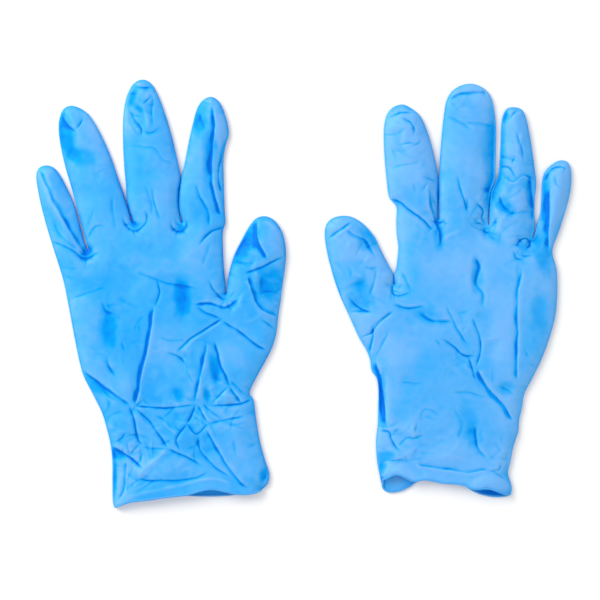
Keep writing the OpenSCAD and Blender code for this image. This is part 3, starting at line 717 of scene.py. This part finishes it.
def crease_rows(points, rim_tree, crease_paths):
    """Adds the creases' points and returns their edges, leaving out what nears the rim."""
    edges = []
    for path in crease_paths:
        last = None
        for p, ok in zip(path, nearest(path, rim_tree) > RIM_CLEAR):
            if not ok:
                last = None
                continue
            points.append(tuple(p))
            if last is not None:
                edges.append((last, len(points) - 1))
            last = len(points) - 1
    return edges


def triangulate(rim, folds, crease_paths, step, rings):
    """Triangles of the plan. The outline, the fold lines and the creases are mesh edges.
    Returns the points, with the rim's first, the triangles and the fold edges."""
    points = [tuple(p) for p in rim]
    rim_tree = tree_of(rim)
    edges = [(k, (k + 1) % len(rim)) for k in range(len(rim))]
    fold_edges = fold_rows(points, rim, folds, step)
    edges += fold_edges
    edges += crease_rows(points, rim_tree, crease_paths)
    normal = inward(rim)
    for depth in rings:
        ring = rim + normal * depth
        points += [tuple(p) for p in ring[nearest(ring, rim_tree) > depth * RING_ROOM]]
    grid = lattice(rim, step)
    grid = grid[inside(grid, rim)]
    grid = grid[nearest(grid, tree_of(points)) > step * LATTICE_ROOM]
    points += [tuple(p) for p in grid]
    vecs = [Vector(p) for p in points]
    out, made_edges, faces, _, origins, _ = delaunay_2d_cdt(vecs, edges, [], 1, 1e-6, True)
    fold_pairs = set(fold_edges)
    fold_set = {k for k, edge in enumerate(edges) if edge in fold_pairs}
    cuts = {tuple(sorted(edge)) for edge, sources in zip(made_edges, origins)
            if any(k in fold_set for k in sources)}
    out = np.array([tuple(v) for v in out])
    faces = np.array([list(f) for f in faces])
    return out, faces[inside(out[faces].mean(1), rim)], cuts


def regions(triangles, cuts):
    """A region number for each triangle: regions meet only across fold edges."""
    parent = list(range(len(triangles)))

    def root(k):
        while parent[k] != k:
            parent[k] = parent[parent[k]]
            k = parent[k]
        return k

    seen = {}
    for k, (a, b, c) in enumerate(triangles.tolist()):
        for u, v in ((a, b), (b, c), (c, a)):
            edge = (u, v) if u < v else (v, u)
            if edge in cuts:
                continue
            if edge in seen:
                parent[root(k)] = root(seen[edge])
            else:
                seen[edge] = k
    return np.array([root(k) for k in range(len(triangles))])


# ---------------------------------------------------------------- the film's heights
def crease_path(points, origin, noise):
    """A crease's line in the row frame, wandering a little as real folds do."""
    path = smooth_path([np.array(p) + origin for p in points], RIM_STEP)
    slow = noise.drift(path, *SLOW_DRIFT)
    quick = noise.drift(path, *QUICK_DRIFT)
    return path + CREASE_WANDER * slow + QUICK_WANDER * quick


def slope(width, dist, taper):
    """A crease's fall from its line to its edge."""
    return np.clip(1 - dist / width, 0, 1) ** 2 * taper


def valley(depth, width, dist, side, taper):
    """A fold that sinks to a sharp line, with a lip each way. Its line and its right side are painted
    darker as shade, and its left lip is painted lighter as a highlight.
    """
    lee = smoothstep(side / LEE_FACE)
    lip = np.exp(-((dist - LIP_AT * width) / (LIP_WIDTH * width)) ** 2) * taper
    rise = depth * (LIP_RISE * lip - slope(width, dist, taper) * (1 - LEE_FILL * lee))
    # Painted shade along the line and on the right side, and a painted highlight on the left lip
    core = np.clip(1.1 - dist / (CORE_WIDTH * width), 0, 1)
    side_shade = SIDE_SHADE * (1 - lee) * np.clip(1 - dist / (SIDE_SHADE_WIDTH * width), 0, 1)
    dark = VALLEY_SHADE * depth * np.maximum(core, side_shade) * taper
    return rise, dark - LIP_LIGHT * depth * lip * lee


def ridge(depth, width, dist, side, taper):
    """A fold that rises to a sharp line, and is painted lighter along it as a highlight."""
    rise = depth * slope(width, dist, taper)
    return rise, -RIDGE_LIGHT * rise


def film_step(depth, width, dist, side, taper):
    """The edge of film folded over film: low on its left side, with a band of painted shade there."""
    low_side = smoothstep(side / STEP_FACE)
    rise = (STEP_RISE - STEP_DROP * low_side) * depth * slope(width, dist, taper)
    band = smoothstep((BAND_WIDTH * width * taper - dist) / BAND_EDGE + 0.5)
    return rise, BAND_SHADE * depth * low_side * band * taper


PROFILES = {"valley": valley, "ridge": ridge, "step": film_step}


def crease_height(points, creases, origin, noise):
    """The rise that the creases give each point, and the painted shade and highlights that they put on
    the film.
    """
    rise = np.zeros(len(points))
    shade = np.zeros(len(points))
    for kind, depth, width, path_points in creases:
        path = crease_path(path_points, origin, noise)
        low, high = path.min(0) - width, path.max(0) + width
        near = np.nonzero(((points > low) & (points < high)).all(1))[0]
        if not len(near):
            continue
        dist, side, share = path_reading(points[near], path)
        length = np.linalg.norm(np.diff(path, axis=0), axis=1).sum()
        taper = smoothstep(np.minimum(share, 1 - share) * length / CREASE_END + CREASE_START)
        uneven = CREASE_MEAN + noise.waves(points[near], CREASE_WAVES)
        own_rise, own_shade = PROFILES[kind](depth, width, dist, side, taper * uneven)
        rise[near] += own_rise
        shade[near] += own_shade
    return rise, shade


def faint_creases(zones, seed):
    """Short faint creases scattered through the crushed parts of a glove."""
    rng = np.random.default_rng(seed)
    weight = np.array([rx * ry * strength for _, _, rx, ry, strength in zones])
    out = []
    for k in rng.choice(len(zones), FAINT_COUNT, p=weight / weight.sum()):
        x, y, rx, ry, strength = zones[k]
        middle = np.array([x, y]) + rng.uniform(-FAINT_ROOM, FAINT_ROOM, 2) * (rx, ry)
        heading = rng.uniform(0, math.pi)
        along = np.array([math.cos(heading), math.sin(heading)])
        across = np.array([-along[1], along[0]])
        length = rng.uniform(*FAINT_LENGTH)
        bow = rng.uniform(-FAINT_BOW, FAINT_BOW) * length
        points = [middle - along * length / 2, middle + across * bow, middle + along * length / 2]
        kind = "ridge" if rng.random() < FAINT_RIDGES else "valley"
        depth = strength * rng.uniform(*FAINT_DEPTH)
        out.append((kind, depth, rng.uniform(*FAINT_WIDTH), points))
    return out


def pucker_creases(puckers, seed):
    """Curved folds that run out from the crotch between two fingers, as round a knot."""
    rng = np.random.default_rng(seed)
    out = []
    for x, y, radius, count in puckers:
        first = rng.uniform(0, 2 * math.pi)
        for k in range(count):
            angle = first + 2 * math.pi * (k + rng.uniform(-PUCKER_AWRY, PUCKER_AWRY)) / count
            reach = radius * rng.uniform(*PUCKER_REACH)
            bend = rng.uniform(*PUCKER_BEND)
            points = []
            for share in PUCKER_PLACES:
                turn = angle + bend * share
                points.append((x + reach * share * math.cos(turn), y + reach * share * math.sin(turn)))
            out.append(("valley", rng.uniform(*PUCKER_DEPTH), rng.uniform(*PUCKER_WIDTH), points))
    return out


def dent_height(points, dents, origin, noise):
    """The rise of the dents and swells, whose edges wander, and their painted shade and light."""
    rise = np.zeros(len(points))
    shade = np.zeros(len(points))
    wander = noise.waves(points, DENT_WAVES)
    for x, y, rx, ry, turn, amount in dents:
        t = math.radians(turn)
        off = points - (np.array([x, y]) + origin)
        u = (off[:, 0] * math.cos(t) + off[:, 1] * math.sin(t)) / rx
        v = (-off[:, 0] * math.sin(t) + off[:, 1] * math.cos(t)) / ry
        reach = np.hypot(u, v)
        rise += amount * np.exp(-reach ** DENT_FLAT)
        # Painted shade in a dent and painted light on a swell
        strength = DENT_SHADE if amount < 0 else SWELL_SHADE
        shade -= strength * amount * smoothstep((DENT_REACH + wander - reach) / DENT_EDGE)
    return rise, np.minimum(shade, MOST_DENT_SHADE)


def crumple(points, size, seed):
    """Flat facets with straight folds between them, as in film that has been crushed:
    random heights, about -1 to 1, at scattered places and straight between them."""
    rng = np.random.default_rng(seed)
    low, high = points.min(0) - 2 * size, points.max(0) + 2 * size
    cols, rows = ((high - low) / size).astype(int)
    j, i = np.mgrid[0:rows, 0:cols]
    seeds = np.stack([i.ravel(), j.ravel()], 1) + rng.uniform(-0.48, 0.48, (rows * cols, 2))
    seeds = low + seeds * size
    level = rng.uniform(-1, 1, len(seeds))
    _, _, faces, origins, _, _ = delaunay_2d_cdt([Vector(p) for p in seeds], [], [], 0, 1e-6, True)
    out = np.zeros(len(points))
    for face in faces:
        a, b, c = (origins[k][0] for k in face)
        pa, pb, pc = seeds[a], seeds[b], seeds[c]
        box_low, box_high = np.minimum(np.minimum(pa, pb), pc), np.maximum(np.maximum(pa, pb), pc)
        near = np.nonzero(((points >= box_low) & (points <= box_high)).all(1))[0]
        if not len(near):
            continue
        area = (pb[0] - pa[0]) * (pc[1] - pa[1]) - (pc[0] - pa[0]) * (pb[1] - pa[1])
        off = points[near] - pa
        v = (off[:, 0] * (pc[1] - pa[1]) - (pc[0] - pa[0]) * off[:, 1]) / area
        w = ((pb[0] - pa[0]) * off[:, 1] - off[:, 0] * (pb[1] - pa[1])) / area
        within = (v >= 0) & (w >= 0) & (v + w <= 1)
        level_here = level[a] + v * (level[b] - level[a]) + w * (level[c] - level[a])
        out[near[within]] = level_here[within]
    return out


def zone_weight(points, zones, origin):
    """How crumpled each point is: a little everywhere, and more inside the zones."""
    weight = np.full(len(points), CRUMPLE_EVERYWHERE)
    for x, y, rx, ry, strength in zones:
        off = (points - (np.array([x, y]) + origin)) / (rx, ry)
        weight = np.maximum(weight, strength * smoothstep(ZONE_REACH - np.hypot(off[:, 0], off[:, 1])))
    return weight


def eased(values, triangles, times):
    """Values averaged with their neighbours' along the mesh, over and over."""
    a = np.concatenate([triangles[:, k] for k in range(3)])
    b = np.concatenate([triangles[:, (k + 1) % 3] for k in range(3)])
    count = np.bincount(a, minlength=len(values)) + np.bincount(b, minlength=len(values))
    for _ in range(times):
        total = np.bincount(a, values[b], len(values)) + np.bincount(b, values[a], len(values))
        values = (1 - EASE_SHARE) * values + EASE_SHARE * total / np.maximum(count, 1)
    return values


def heights(points, rim, mouth, spec, creases, origin):
    """Heights of the top layer and of the underside over each point, and the film's shade, painted shade
    and highlights among it.
    """
    seed = spec["seed"]
    noise = Noise(seed)
    s = nearest(points, tree_of(rim[~mouth]))
    turn_in = np.sqrt(1 - (1 - np.minimum(s / FOLD_R, 1)) ** 2)
    lift = RIM_LIFT * (0.5 + noise.waves(points, LIFT_WAVES))
    rim_z = RIM_Z + lift

    crease, crease_shade = crease_height(points, creases, origin, noise)
    dent, dent_shade = dent_height(points, spec["dents"], origin, noise)
    soft = noise.waves(points, SOFT_WAVES)
    ripple = RIPPLE_TOP - noise.wrinkles(points, RIPPLES)
    crushed = zone_weight(points, spec["crushed"], origin)
    warped = points + FACET_WARP * noise.drift(points, *FACET_DRIFT)
    facets = sum(rise * crumple(warped, size, seed + 1 + k) for k, (rise, size) in enumerate(FACETS))
    relief = (crease + dent + soft + ripple + crushed * facets) * smoothstep(s / RELIEF_REACH)
    air = AIR * (1 - np.exp(-s / AIR_REACH)) * (1 + noise.waves(points, AIR_WAVES))

    under = rim_z - UNDER_DROP * turn_in - lift * smoothstep(s / LIFT_REACH)
    under += noise.wrinkles(points, UNDER_WRINKLES) * smoothstep(s / UNDER_REACH)
    top = np.maximum(rim_z + FOLD_R * turn_in + air + relief, under + FILM_GAP * turn_in)
    lip = nearest(points, tree_of(rim[mouth]))
    under = np.maximum(under, LEAST_Z + BEAD_R * (1 - smoothstep(lip / BEAD_ROOM)))

    # The film's shade: painted shade and highlights from the creases and dents, and tones that differ at
    # random by facet and in clouds
    strength, size = EVERY_FACET_SHADE
    shade = crease_shade + dent_shade + strength * crumple(warped, size, seed + 3)
    strength, size = CRUSHED_FACET_SHADE
    shade += strength * crushed * crumple(warped, size, seed + 4)
    shade += noise.waves(points, CLOUD_SHADE)
    return np.where(s > 0, top, rim_z), np.where(s > 0, under, rim_z), shade


def pull_back(points, layer, rim, mouth, pulls, origin):
    """Draws a layer's edge back from the mouth's line, most of all at the edge itself."""
    reach = nearest(points, tree_of(rim[mouth]))
    fade = np.clip(1 - reach / PULL_REACH, 0, 1) ** 2
    moved = points.copy()
    for which, middle, half, amount, _ in pulls:
        if which == layer:
            moved[:, 1] += amount * hump(points[:, 0] - origin[0], middle, half) * fade
    return moved


def hump(x, middle, half):
    """A smooth hump, 1 at the middle and 0 at half either way and past it."""
    return 0.5 + 0.5 * np.cos(math.pi * np.clip((x - middle) / half, -1, 1))


def mouth_shade(points, rim, mouth, pulls, origin):
    """The painted shade on the underside near the mouth, where one looks in at it."""
    level = np.full(len(points), MOUTH_SHADE)
    for _, middle, half, _, darker in pulls:
        level += darker * hump(points[:, 0] - origin[0], middle, half)
    return level * (1 - smoothstep(nearest(points, tree_of(rim[mouth])) / MOUTH_REACH))


# ---------------------------------------------------------------- meshes
def smooth_object(name, coords, faces):
    """An object with smooth faces, from places in millimetres."""
    mesh = bpy.data.meshes.new(name)
    mesh.from_pydata((coords * MM).tolist(), [], faces)
    mesh.polygons.foreach_set("use_smooth", [True] * len(mesh.polygons))
    obj = bpy.data.objects.new(name, mesh)
    bpy.context.scene.collection.objects.link(obj)
    return obj


def film_mesh(name, coords, normals, shade, triangles):
    """A piece of film from some of the glove's triangles, with the whole glove's normals."""
    used, index = np.unique(triangles, return_inverse=True)
    obj = smooth_object(name, coords[used], index.reshape(-1, 3).tolist())
    # Each vertex's shade, which carries the painted shade and highlights, for the material's colour
    tone = obj.data.attributes.new("shade", "FLOAT", "POINT")
    tone.data.foreach_set("value", shade[used].astype(np.float32))
    obj.data.update()
    obj.data.normals_split_custom_set_from_vertices(normals[used].tolist())
    return obj


def vertex_normals(coords, triangles):
    """Each vertex's normal, from its triangles in proportion to their areas."""
    a, b, c = (coords[triangles[:, k]] for k in range(3))
    face = np.cross(b - a, c - a)
    out = np.zeros_like(coords)
    for k in range(3):
        np.add.at(out, triangles[:, k], face)
    return out / np.maximum(np.linalg.norm(out, axis=1), 1e-12)[:, None]


def node_at(name, centre):
    """The CAD node whose box is centred nearest to a region's middle."""
    parts = ["hand", "cuff"] + [f"{f}_{p}" for f in FINGERS for p in ("base", "tip")]

    def away(part):
        low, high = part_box(f"{name}_{part}")
        middle = np.array((low + high) / 2)[:2] / MM
        return np.hypot(*(middle - centre))

    return min(parts, key=away)


def tube(name, path, seed):
    """The rolled edge: a closed round tube along a closed path, a little uneven."""
    rng = np.random.default_rng(seed)
    count = len(path)
    ease = np.ones(9) / 9
    swell = np.convolve(np.tile(rng.normal(0, 1, count), 3), ease, "same")[count:2 * count]
    radius = BEAD_R * (1 + BEAD_SWELL * swell)[:, None]
    tangent = np.roll(path, -1, axis=0) - np.roll(path, 1, axis=0)
    tangent /= np.linalg.norm(tangent, axis=1)[:, None]
    across = np.cross(tangent, np.array([0.0, 0, 1]))
    across /= np.maximum(np.linalg.norm(across, axis=1), 1e-9)[:, None]
    upward = np.cross(across, tangent)
    turns = [2 * math.pi * k / BEAD_SIDES for k in range(BEAD_SIDES)]
    verts = [path + radius * (math.cos(a) * across + math.sin(a) * upward) for a in turns]
    faces = []
    for i in range(count):
        here, there = i * BEAD_SIDES, (i + 1) % count * BEAD_SIDES
        for k in range(BEAD_SIDES):
            m = (k + 1) % BEAD_SIDES
            faces.append((here + k, here + m, there + m, there + k))
    obj = smooth_object(name, np.stack(verts, 1).reshape(-1, 3), faces)
    obj.data.attributes.new("shade", "FLOAT", "POINT")
    return obj


def even_closed(path, step):
    """A closed path with its points evenly spaced, then eased twice."""
    loop = np.vstack([path, path[:1]])
    gaps = np.linalg.norm(np.diff(loop, axis=0), axis=1)
    at = np.concatenate([[0], np.cumsum(gaps)])
    count = int(at[-1] / step)
    where = np.linspace(0, at[-1], count, endpoint=False)
    out = np.stack([np.interp(where, at, loop[:, k]) for k in range(3)], 1)
    for _ in range(2):
        out = 0.5 * out + 0.25 * (np.roll(out, 1, axis=0) + np.roll(out, -1, axis=0))
    return out


def build_layer(layer, plan, spec, creases, origin):
    """Meshes one layer over the plan, and gives its vertices their places and shades, painted shade and
    light among them.
    """
    rim, mouth, folds = plan
    if layer == "top":
        noise = Noise(spec["seed"])
        deep = [points for _, depth, _, points in spec["creases"] if depth >= MESHED_DEPTH]
        lines = [crease_path(points, origin, noise) for points in deep]
        points, triangles, cuts = triangulate(rim, folds, lines, TOP_STEP, TOP_RINGS)
    else:
        points, triangles, cuts = triangulate(rim, folds, [], UNDER_STEP, UNDER_RINGS)
    top, under, shade = heights(points, rim, mouth, spec, creases, origin)
    z = top if layer == "top" else under
    # The glove's tone and the film's shade, with painted shade in the hollows and painted light on the
    # rises
    shade = spec["tone"] + shade + CAVITY * (eased(z, triangles, CAVITY_EASE) - z)
    # The underside's shade is capped, and the painted shade inside the mouth is added
    if layer == "under":
        shade = np.clip(shade, 0, UNDER_SHADE) + mouth_shade(points, rim, mouth, spec["pulls"], origin)
    moved = pull_back(points, layer, rim, mouth, spec["pulls"], origin)
    return Layer(points, triangles, cuts, np.column_stack([moved, z]), shade)


def under_index(top, under, mouth):
    """Where the underside's vertices stand in the list of both layers. Both have the
    outline's vertices first. The underside uses the top's, but not along the open mouth."""
    index = np.arange(len(under.points)) + len(top.points)
    outline = np.arange(len(mouth))
    index[outline] = np.where(mouth, index[outline], outline)
    for corner in (0, int(np.nonzero(mouth)[0][1])):
        index[corner] = corner
    return index


def glove(name):
    """Builds one glove's pieces; the hand's piece and the rolled edge are given their bodies."""
    spec = GLOVES[name]
    origin = np.array(JOINTS[f"{name}_cuff_fold"]["pos_m"][:2]) / MM
    plan = plan_of(name, spec, origin)
    mouth = plan[1]
    creases = (spec["creases"] + faint_creases(spec["crushed"], spec["seed"] + 5)
               + pucker_creases(spec["puckers"], spec["seed"] + 6))
    top = build_layer("top", plan, spec, creases, origin)
    under = build_layer("under", plan, spec, creases, origin)
    coords = np.vstack([top.coords, under.coords])
    shade = np.concatenate([top.shade, under.shade])
    under_faces = under_index(top, under, mouth)[under.triangles][:, ::-1]
    normals = vertex_normals(coords, np.vstack([top.triangles, under_faces]))
    pieces = {}
    for layer, faces in ((top, top.triangles), (under, under_faces)):
        region = regions(layer.triangles, layer.cuts)
        for r in np.unique(region):
            own = region == r
            centre = layer.points[layer.triangles[own]].reshape(-1, 2).mean(0)
            pieces.setdefault(node_at(name, centre), []).append(faces[own])
    for part, groups in pieces.items():
        obj = film_mesh(f"{name}_{part}_film", coords, normals, shade, np.vstack(groups))
        obj.data.materials.append(film)
        attach(obj, name, part)

    # The rolled edge runs along the top layer's edge and back along the underside's
    order = np.roll(np.nonzero(mouth)[0], -1)
    loop = np.vstack([top.coords[order], under.coords[order][::-1]])
    bead = tube(f"{name}_rolled_edge", even_closed(loop, BEAD_STEP), spec["seed"])
    bead.data.materials.append(bead_film)
    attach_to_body(bead, f"{name}_cuff")
    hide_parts(f"{name}_cuff_bead")


def attach(obj, name, part):
    """Stands a piece in for its CAD node, which it hides, and gives the hand's piece the hand's body."""
    node = f"{name}_{part}"
    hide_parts(node)
    if part == "hand":
        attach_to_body(obj, node)
        return
    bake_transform(obj)


# ---------------------------------------------------------------- materials
def film_material(name, tones, roughness):
    """Dipped nitrile: satin and faintly grained, its colour darker where its vertices' shade is higher,
    painted shade and highlights included.
    """
    mat = bpy.data.materials.new(name)
    mat.use_nodes = True
    tree = mat.node_tree
    link = tree.links.new
    shader = tree.nodes["Principled BSDF"]
    coord = tree.nodes.new("ShaderNodeTexCoord")

    def texture(scale, detail, distortion):
        node = tree.nodes.new("ShaderNodeTexNoise")
        node.inputs["Scale"].default_value = scale
        node.inputs["Detail"].default_value = detail
        node.inputs["Distortion"].default_value = distortion
        link(coord.outputs["Object"], node.inputs["Vector"])
        return node.outputs["Fac"]

    def mapped(value, low, high):
        node = tree.nodes.new("ShaderNodeMapRange")
        node.inputs["To Min"].default_value = low
        node.inputs["To Max"].default_value = high
        link(value, node.inputs["Value"])
        return node.outputs["Result"]

    def bump(height, strength, distance):
        node = tree.nodes.new("ShaderNodeBump")
        node.inputs["Strength"].default_value = strength
        node.inputs["Distance"].default_value = distance
        link(height, node.inputs["Height"])
        return node

    # The colour: the vertices' shade, painted shade and highlights among it, a little clouded, through
    # the tones
    shade = tree.nodes.new("ShaderNodeAttribute")
    shade.attribute_name = "shade"
    clouded = tree.nodes.new("ShaderNodeMath")
    clouded.operation = "ADD"
    link(mapped(texture(scale=130, detail=4, distortion=0), -0.05, 0.05), clouded.inputs[0])
    link(shade.outputs["Fac"], clouded.inputs[1])
    ramp = tree.nodes.new("ShaderNodeValToRGB")
    stops = ramp.color_ramp.elements
    while len(stops) < len(tones):
        stops.new(0.5)
    for stop, (position, colour) in zip(stops, tones):
        stop.position = position
        stop.color = (*colour, 1)
    link(clouded.outputs[0], ramp.inputs["Fac"])
    link(ramp.outputs["Color"], shader.inputs["Base Color"])

    # The surface: a fine grain and a coarser crinkle, which also makes it more or less satin
    crinkle = texture(scale=420, detail=5, distortion=0.6)
    grain = bump(texture(scale=2600, detail=2, distortion=0), strength=0.12, distance=0.00008)
    surface = bump(crinkle, strength=0.35, distance=0.00022)
    link(grain.outputs["Normal"], surface.inputs["Normal"])
    link(surface.outputs["Normal"], shader.inputs["Normal"])
    link(mapped(crinkle, roughness - 0.06, roughness + 0.08), shader.inputs["Roughness"])
    shader.inputs["IOR"].default_value = 1.48
    shader.inputs["Specular IOR Level"].default_value = 0.5
    shader.inputs["Specular Tint"].default_value = SPECULAR_TINT

    # The light that passes into the film and through it
    shader.inputs["Subsurface Weight"].default_value = 0.22
    shader.inputs["Subsurface Radius"].default_value = (0.05, 0.5, 1.0)
    shader.inputs["Subsurface Scale"].default_value = 0.0025
    through = tree.nodes.new("ShaderNodeBsdfTranslucent")
    through.inputs["Color"].default_value = THROUGH_COLOUR
    link(surface.outputs["Normal"], through.inputs["Normal"])
    thin = tree.nodes.new("ShaderNodeMixShader")
    thin.inputs["Fac"].default_value = 0.14
    link(shader.outputs["BSDF"], thin.inputs[1])
    link(through.outputs["BSDF"], thin.inputs[2])
    link(thin.outputs["Shader"], tree.nodes["Material Output"].inputs["Surface"])
    return mat


# ---------------------------------------------------------------- stage, light, camera
def stage():
    """A pale floor, a white world, two lamps and the camera straight above."""
    low, high = CAD_BOX
    centre = (low + high) / 2
    floor_mesh = bpy.data.meshes.new("floor")
    corners = [(-1, -1), (1, -1), (1, 1), (-1, 1)]
    spread = [(x * FLOOR_HALF, y * FLOOR_HALF, FLOOR_Z) for x, y in corners]
    floor_mesh.from_pydata(spread, [], [(0, 1, 2, 3)])
    floor = bpy.data.objects.new("floor", floor_mesh)
    bpy.context.scene.collection.objects.link(floor)
    mat = bpy.data.materials.new("pale_floor")
    mat.use_nodes = True
    shader = mat.node_tree.nodes["Principled BSDF"]
    shader.inputs["Base Color"].default_value = FLOOR_COLOUR
    shader.inputs["Roughness"].default_value = 0.9
    shader.inputs["Specular IOR Level"].default_value = 0.1
    floor_mesh.materials.append(mat)

    world = bpy.data.worlds.new("studio")
    world.use_nodes = True
    world.node_tree.nodes["Background"].inputs["Color"].default_value = (1, 1, 1, 1)
    world.node_tree.nodes["Background"].inputs["Strength"].default_value = WORLD_LIGHT
    bpy.context.scene.world = world
    for name, place, size, power in LAMPS:
        lamp = bpy.data.lights.new(name, "AREA")
        lamp.shape = "DISK"
        lamp.size = size
        lamp.energy = power
        obj = bpy.data.objects.new(name, lamp)
        obj.location = Vector(place) + centre
        obj.rotation_euler = (centre - obj.location).to_track_quat("-Z", "Y").to_euler()
        bpy.context.scene.collection.objects.link(obj)

    data = bpy.data.cameras.new("camera")
    data.sensor_width = SENSOR
    data.lens = SENSOR * CAMERA_HEIGHT / VIEW_WIDTH
    camera = bpy.data.objects.new("camera", data)
    camera.location = (centre.x + CAMERA_PLACE[0], centre.y + CAMERA_PLACE[1], CAMERA_HEIGHT)
    bpy.context.scene.collection.objects.link(camera)
    bpy.context.scene.camera = camera
    bpy.context.scene.view_settings.view_transform = "Standard"


film = film_material("nitrile_film", FILM_TONES, FILM_ROUGHNESS)
bead_film = film_material("nitrile_bead", BEAD_TONES, BEAD_ROUGHNESS)
for glove_name in GLOVES:
    glove(glove_name)
stage()
